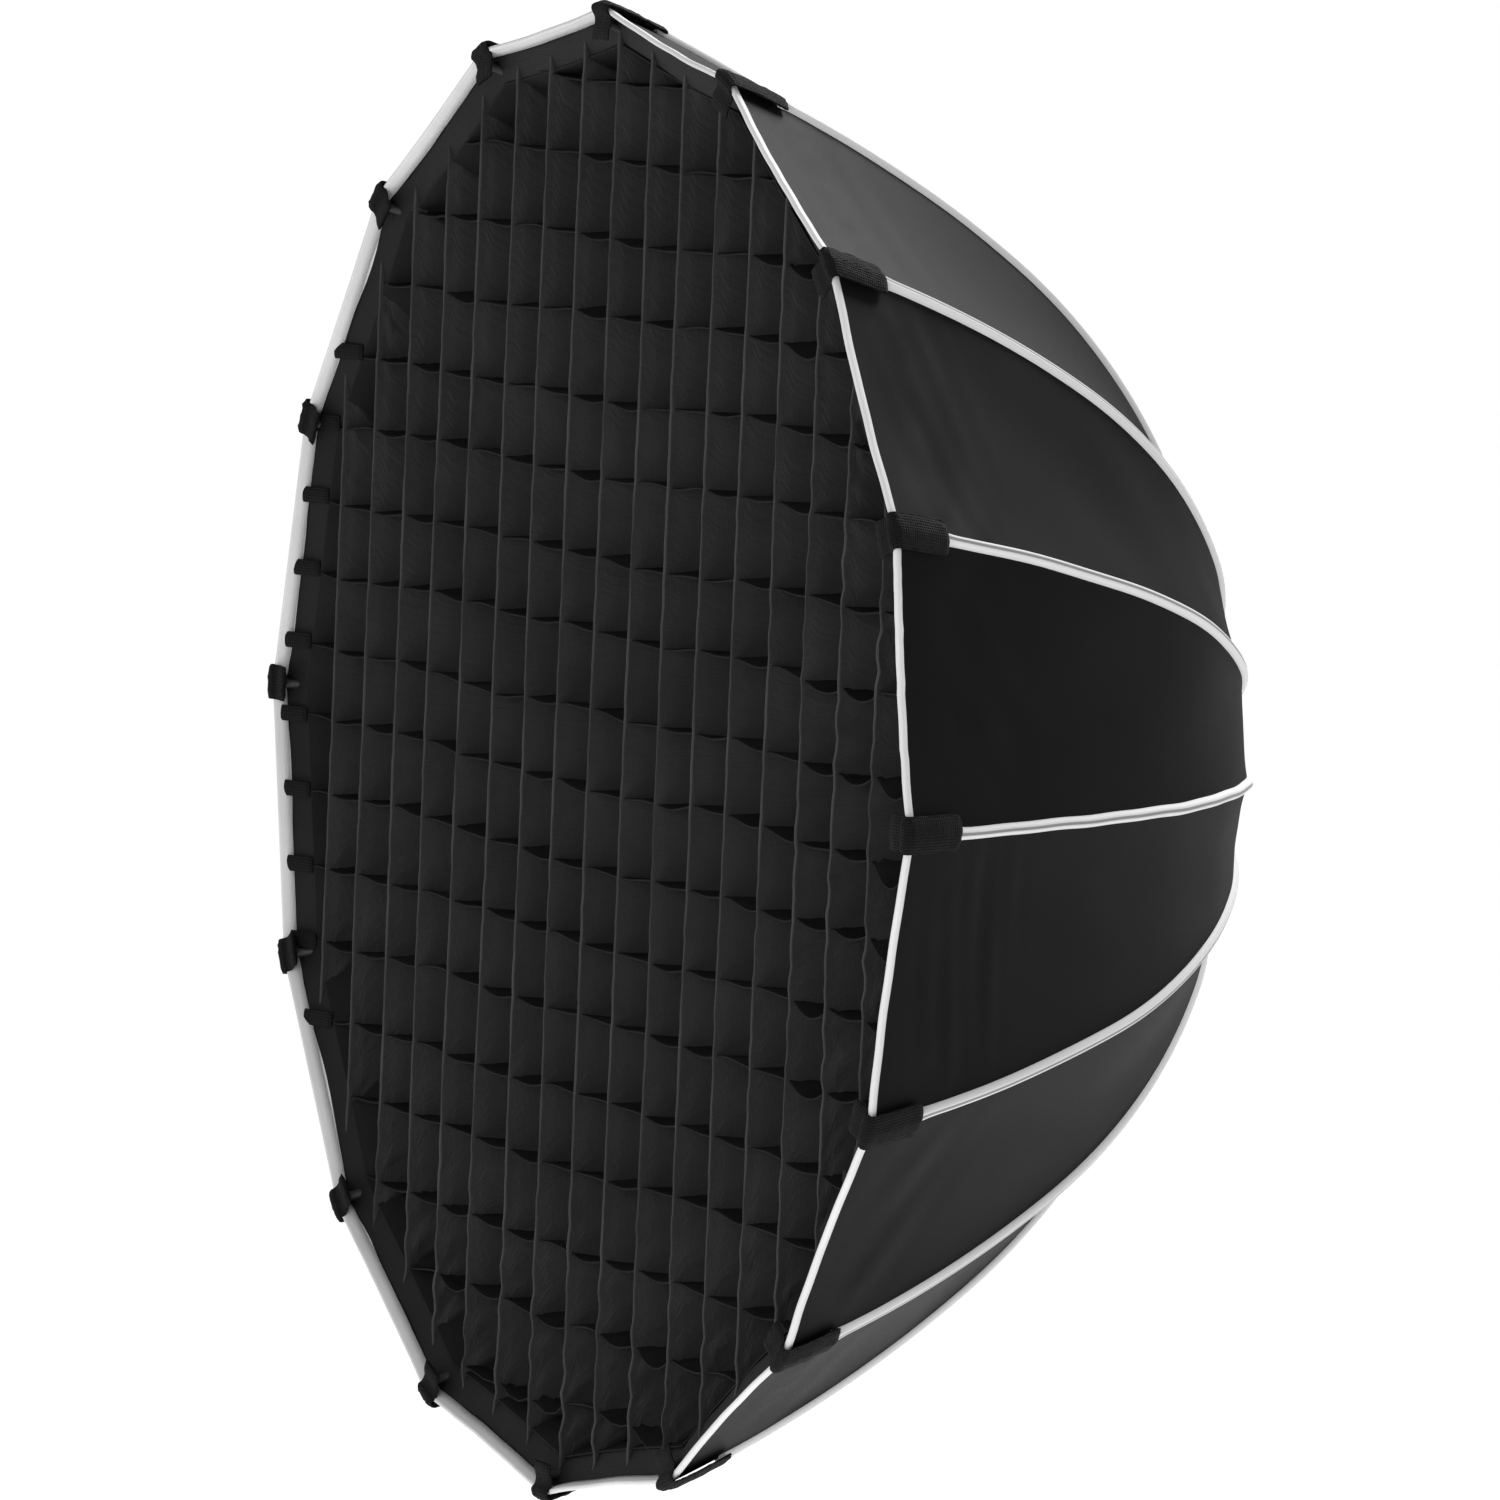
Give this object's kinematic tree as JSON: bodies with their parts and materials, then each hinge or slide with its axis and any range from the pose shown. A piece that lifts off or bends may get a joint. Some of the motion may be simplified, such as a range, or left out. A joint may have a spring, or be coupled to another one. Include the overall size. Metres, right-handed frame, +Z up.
{
  "type": "softbox",
  "caption": "Deep round folding softbox with hinged ribs, black fabric shell, two diffusers, fabric grid and rear bayonet mount.",
  "frame": {"origin": "centre of the throat in the mount flange's rear face", "axes": "+Y back towards the lamp along the light axis, -Y out of the open front, +Z up with one rib straight up"},
  "size_m": [0.907, 0.4194, 0.907],
  "materials": {
    "black_shell_fabric": "woven coated polyester, slight sheen",
    "black_grid_fabric": "matt black ribbon fabric",
    "black_hook_tape": "fuzzy hook-and-loop tape",
    "white_diffusion_fabric": "white diffusion cloth",
    "rod_black": "pultruded glass-fibre rod, satin black",
    "holder_nylon": "glass-filled nylon",
    "hub_black": "moulded black housing",
    "mount_metal": "black anodised aluminium",
    "steel": "plain steel",
    "release_grey": "dark grey ribbed grip"
  },
  "bodies": {
    "hub": {"hub_front": "hub_black", "hub_rear": "hub_black", "hinge_pins": "steel", "hub_screws": "steel", "mount_insert": "mount_metal", "latch_leaves": "steel"},
    "release_ring": {"release_ring": "release_grey"},
    "rib_01": {"rod_01": "rod_black", "rod_holder_01": "holder_nylon"},
    "gore_01": {"gore_01": "black_shell_fabric"},
    "rib_02": {"rod_02": "rod_black", "rod_holder_02": "holder_nylon"},
    "gore_02": {"gore_02": "black_shell_fabric"},
    "rib_03": {"rod_03": "rod_black", "rod_holder_03": "holder_nylon"},
    "gore_03": {"gore_03": "black_shell_fabric"},
    "rib_04": {"rod_04": "rod_black", "rod_holder_04": "holder_nylon"},
    "gore_04": {"gore_04": "black_shell_fabric"},
    "rib_05": {"rod_05": "rod_black", "rod_holder_05": "holder_nylon"},
    "gore_05": {"gore_05": "black_shell_fabric"},
    "rib_06": {"rod_06": "rod_black", "rod_holder_06": "holder_nylon"},
    "gore_06": {"gore_06": "black_shell_fabric"},
    "rib_07": {"rod_07": "rod_black", "rod_holder_07": "holder_nylon"},
    "gore_07": {"gore_07": "black_shell_fabric"},
    "rib_08": {"rod_08": "rod_black", "rod_holder_08": "holder_nylon"},
    "gore_08": {"gore_08": "black_shell_fabric"},
    "rib_09": {"rod_09": "rod_black", "rod_holder_09": "holder_nylon"},
    "gore_09": {"gore_09": "black_shell_fabric"},
    "rib_10": {"rod_10": "rod_black", "rod_holder_10": "holder_nylon"},
    "gore_10": {"gore_10": "black_shell_fabric"},
    "rib_11": {"rod_11": "rod_black", "rod_holder_11": "holder_nylon"},
    "gore_11": {"gore_11": "black_shell_fabric"},
    "rib_12": {"rod_12": "rod_black", "rod_holder_12": "holder_nylon"},
    "gore_12": {"gore_12": "black_shell_fabric"},
    "rib_13": {"rod_13": "rod_black", "rod_holder_13": "holder_nylon"},
    "gore_13": {"gore_13": "black_shell_fabric"},
    "rib_14": {"rod_14": "rod_black", "rod_holder_14": "holder_nylon"},
    "gore_14": {"gore_14": "black_shell_fabric"},
    "rib_15": {"rod_15": "rod_black", "rod_holder_15": "holder_nylon"},
    "gore_15": {"gore_15": "black_shell_fabric"},
    "rib_16": {"rod_16": "rod_black", "rod_holder_16": "holder_nylon"},
    "gore_16": {"gore_16": "black_shell_fabric"},
    "inner_diffuser": {"inner_diffuser": "white_diffusion_fabric"},
    "front_diffuser": {"front_diffuser": "white_diffusion_fabric"},
    "grid": {"grid": "black_grid_fabric", "grid_tabs": "black_hook_tape"}
  },
  "joints": [
    {"name": "release_turn", "type": "hinge", "parent": "hub", "child": "release_ring", "pos_m": [0, -0.014, 0], "axis": [0, 1, 0], "range_deg": [0, 8], "stiffness_Nm_per_rad": 0.4},
    {"name": "rib_fold_01", "type": "hinge", "parent": "hub", "child": "rib_01", "pos_m": [0, -0.014, 0.08071], "axis": [1, 0, 0], "range_deg": [0, 40]},
    {"name": "gore_fold_01", "type": "hinge", "parent": "rib_01", "child": "gore_01", "pos_m": [-0.01605, -0.014, 0.08071], "axis": [-0.1837, 0.3362, 0.9237], "range_deg": [0, 15.31], "deforming": ["gore_01"]},
    {"name": "rib_fold_02", "type": "hinge", "parent": "hub", "child": "rib_02", "pos_m": [-0.03089, -0.014, 0.07457], "axis": [0.9239, 0, 0.3827], "range_deg": [0, 40]},
    {"name": "gore_fold_02", "type": "hinge", "parent": "rib_02", "child": "gore_02", "pos_m": [-0.04572, -0.014, 0.06842], "axis": [-0.5232, 0.3362, 0.7831], "range_deg": [0, 15.31], "deforming": ["gore_02"]},
    {"name": "rib_fold_03", "type": "hinge", "parent": "hub", "child": "rib_03", "pos_m": [-0.05707, -0.014, 0.05707], "axis": [0.7071, 0, 0.7071], "range_deg": [0, 40]},
    {"name": "gore_fold_03", "type": "hinge", "parent": "rib_03", "child": "gore_03", "pos_m": [-0.06842, -0.014, 0.04572], "axis": [-0.7831, 0.3362, 0.5232], "range_deg": [0, 15.31], "deforming": ["gore_03"]},
    {"name": "rib_fold_04", "type": "hinge", "parent": "hub", "child": "rib_04", "pos_m": [-0.07457, -0.014, 0.03089], "axis": [0.3827, 0, 0.9239], "range_deg": [0, 40]},
    {"name": "gore_fold_04", "type": "hinge", "parent": "rib_04", "child": "gore_04", "pos_m": [-0.08071, -0.014, 0.01605], "axis": [-0.9237, 0.3362, 0.1837], "range_deg": [0, 15.31], "deforming": ["gore_04"]},
    {"name": "rib_fold_05", "type": "hinge", "parent": "hub", "child": "rib_05", "pos_m": [-0.08071, -0.014, 0], "axis": [0, 0, 1], "range_deg": [0, 40]},
    {"name": "gore_fold_05", "type": "hinge", "parent": "rib_05", "child": "gore_05", "pos_m": [-0.08071, -0.014, -0.01605], "axis": [-0.9237, 0.3362, -0.1837], "range_deg": [0, 15.31], "deforming": ["gore_05"]},
    {"name": "rib_fold_06", "type": "hinge", "parent": "hub", "child": "rib_06", "pos_m": [-0.07457, -0.014, -0.03089], "axis": [-0.3827, 0, 0.9239], "range_deg": [0, 40]},
    {"name": "gore_fold_06", "type": "hinge", "parent": "rib_06", "child": "gore_06", "pos_m": [-0.06842, -0.014, -0.04572], "axis": [-0.7831, 0.3362, -0.5232], "range_deg": [0, 15.31], "deforming": ["gore_06"]},
    {"name": "rib_fold_07", "type": "hinge", "parent": "hub", "child": "rib_07", "pos_m": [-0.05707, -0.014, -0.05707], "axis": [-0.7071, 0, 0.7071], "range_deg": [0, 40]},
    {"name": "gore_fold_07", "type": "hinge", "parent": "rib_07", "child": "gore_07", "pos_m": [-0.04572, -0.014, -0.06842], "axis": [-0.5232, 0.3362, -0.7831], "range_deg": [0, 15.31], "deforming": ["gore_07"]},
    {"name": "rib_fold_08", "type": "hinge", "parent": "hub", "child": "rib_08", "pos_m": [-0.03089, -0.014, -0.07457], "axis": [-0.9239, 0, 0.3827], "range_deg": [0, 40]},
    {"name": "gore_fold_08", "type": "hinge", "parent": "rib_08", "child": "gore_08", "pos_m": [-0.01605, -0.014, -0.08071], "axis": [-0.1837, 0.3362, -0.9237], "range_deg": [0, 15.31], "deforming": ["gore_08"]},
    {"name": "rib_fold_09", "type": "hinge", "parent": "hub", "child": "rib_09", "pos_m": [0, -0.014, -0.08071], "axis": [-1, 0, 0], "range_deg": [0, 40]},
    {"name": "gore_fold_09", "type": "hinge", "parent": "rib_09", "child": "gore_09", "pos_m": [0.01605, -0.014, -0.08071], "axis": [0.1837, 0.3362, -0.9237], "range_deg": [0, 15.31], "deforming": ["gore_09"]},
    {"name": "rib_fold_10", "type": "hinge", "parent": "hub", "child": "rib_10", "pos_m": [0.03089, -0.014, -0.07457], "axis": [-0.9239, 0, -0.3827], "range_deg": [0, 40]},
    {"name": "gore_fold_10", "type": "hinge", "parent": "rib_10", "child": "gore_10", "pos_m": [0.04572, -0.014, -0.06842], "axis": [0.5232, 0.3362, -0.7831], "range_deg": [0, 15.31], "deforming": ["gore_10"]},
    {"name": "rib_fold_11", "type": "hinge", "parent": "hub", "child": "rib_11", "pos_m": [0.05707, -0.014, -0.05707], "axis": [-0.7071, 0, -0.7071], "range_deg": [0, 40]},
    {"name": "gore_fold_11", "type": "hinge", "parent": "rib_11", "child": "gore_11", "pos_m": [0.06842, -0.014, -0.04572], "axis": [0.7831, 0.3362, -0.5232], "range_deg": [0, 15.31], "deforming": ["gore_11"]},
    {"name": "rib_fold_12", "type": "hinge", "parent": "hub", "child": "rib_12", "pos_m": [0.07457, -0.014, -0.03089], "axis": [-0.3827, 0, -0.9239], "range_deg": [0, 40]},
    {"name": "gore_fold_12", "type": "hinge", "parent": "rib_12", "child": "gore_12", "pos_m": [0.08071, -0.014, -0.01605], "axis": [0.9237, 0.3362, -0.1837], "range_deg": [0, 15.31], "deforming": ["gore_12"]},
    {"name": "rib_fold_13", "type": "hinge", "parent": "hub", "child": "rib_13", "pos_m": [0.08071, -0.014, 0], "axis": [0, 0, -1], "range_deg": [0, 40]},
    {"name": "gore_fold_13", "type": "hinge", "parent": "rib_13", "child": "gore_13", "pos_m": [0.08071, -0.014, 0.01605], "axis": [0.9237, 0.3362, 0.1837], "range_deg": [0, 15.31], "deforming": ["gore_13"]},
    {"name": "rib_fold_14", "type": "hinge", "parent": "hub", "child": "rib_14", "pos_m": [0.07457, -0.014, 0.03089], "axis": [0.3827, 0, -0.9239], "range_deg": [0, 40]},
    {"name": "gore_fold_14", "type": "hinge", "parent": "rib_14", "child": "gore_14", "pos_m": [0.06842, -0.014, 0.04572], "axis": [0.7831, 0.3362, 0.5232], "range_deg": [0, 15.31], "deforming": ["gore_14"]},
    {"name": "rib_fold_15", "type": "hinge", "parent": "hub", "child": "rib_15", "pos_m": [0.05707, -0.014, 0.05707], "axis": [0.7071, 0, -0.7071], "range_deg": [0, 40]},
    {"name": "gore_fold_15", "type": "hinge", "parent": "rib_15", "child": "gore_15", "pos_m": [0.04572, -0.014, 0.06842], "axis": [0.5232, 0.3362, 0.7831], "range_deg": [0, 15.31], "deforming": ["gore_15"]},
    {"name": "rib_fold_16", "type": "hinge", "parent": "hub", "child": "rib_16", "pos_m": [0.03089, -0.014, 0.07457], "axis": [0.9239, 0, -0.3827], "range_deg": [0, 40]},
    {"name": "gore_fold_16", "type": "hinge", "parent": "rib_16", "child": "gore_16", "pos_m": [0.01605, -0.014, 0.08071], "axis": [0.1837, 0.3362, 0.9237], "range_deg": [0, 15.31], "deforming": ["gore_16"]},
    {"name": "inner_diffuser_lift", "type": "slide", "parent": "hub", "child": "inner_diffuser", "axis": [0, -1, 0], "range_m": [0, 0.84]},
    {"name": "front_diffuser_lift", "type": "slide", "parent": "hub", "child": "front_diffuser", "axis": [0, -1, 0], "range_m": [0, 0.84]},
    {"name": "grid_lift", "type": "slide", "parent": "hub", "child": "grid", "axis": [0, -1, 0], "range_m": [0, 0.84]}
  ],
  "couplings": [
    {"joint": "gore_fold_01", "follows": "rib_fold_01", "ratio": 0.38259},
    {"joint": "gore_fold_02", "follows": "rib_fold_01", "ratio": 0.38259},
    {"joint": "rib_fold_02", "follows": "rib_fold_01", "ratio": 1},
    {"joint": "gore_fold_03", "follows": "rib_fold_01", "ratio": 0.38259},
    {"joint": "rib_fold_03", "follows": "rib_fold_01", "ratio": 1},
    {"joint": "gore_fold_04", "follows": "rib_fold_01", "ratio": 0.38259},
    {"joint": "rib_fold_04", "follows": "rib_fold_01", "ratio": 1},
    {"joint": "gore_fold_05", "follows": "rib_fold_01", "ratio": 0.38259},
    {"joint": "rib_fold_05", "follows": "rib_fold_01", "ratio": 1},
    {"joint": "gore_fold_06", "follows": "rib_fold_01", "ratio": 0.38259},
    {"joint": "rib_fold_06", "follows": "rib_fold_01", "ratio": 1},
    {"joint": "gore_fold_07", "follows": "rib_fold_01", "ratio": 0.38259},
    {"joint": "rib_fold_07", "follows": "rib_fold_01", "ratio": 1},
    {"joint": "gore_fold_08", "follows": "rib_fold_01", "ratio": 0.38259},
    {"joint": "rib_fold_08", "follows": "rib_fold_01", "ratio": 1},
    {"joint": "gore_fold_09", "follows": "rib_fold_01", "ratio": 0.38259},
    {"joint": "rib_fold_09", "follows": "rib_fold_01", "ratio": 1},
    {"joint": "gore_fold_10", "follows": "rib_fold_01", "ratio": 0.38259},
    {"joint": "rib_fold_10", "follows": "rib_fold_01", "ratio": 1},
    {"joint": "gore_fold_11", "follows": "rib_fold_01", "ratio": 0.38259},
    {"joint": "rib_fold_11", "follows": "rib_fold_01", "ratio": 1},
    {"joint": "gore_fold_12", "follows": "rib_fold_01", "ratio": 0.38259},
    {"joint": "rib_fold_12", "follows": "rib_fold_01", "ratio": 1},
    {"joint": "gore_fold_13", "follows": "rib_fold_01", "ratio": 0.38259},
    {"joint": "rib_fold_13", "follows": "rib_fold_01", "ratio": 1},
    {"joint": "gore_fold_14", "follows": "rib_fold_01", "ratio": 0.38259},
    {"joint": "rib_fold_14", "follows": "rib_fold_01", "ratio": 1},
    {"joint": "gore_fold_15", "follows": "rib_fold_01", "ratio": 0.38259},
    {"joint": "rib_fold_15", "follows": "rib_fold_01", "ratio": 1},
    {"joint": "gore_fold_16", "follows": "rib_fold_01", "ratio": 0.38259},
    {"joint": "rib_fold_16", "follows": "rib_fold_01", "ratio": 1},
    {"joint": "inner_diffuser_lift", "follows": "rib_fold_01", "m_per_rad": 1.2},
    {"joint": "front_diffuser_lift", "follows": "rib_fold_01", "m_per_rad": 1.2},
    {"joint": "grid_lift", "follows": "rib_fold_01", "m_per_rad": 1.2}
  ]
}
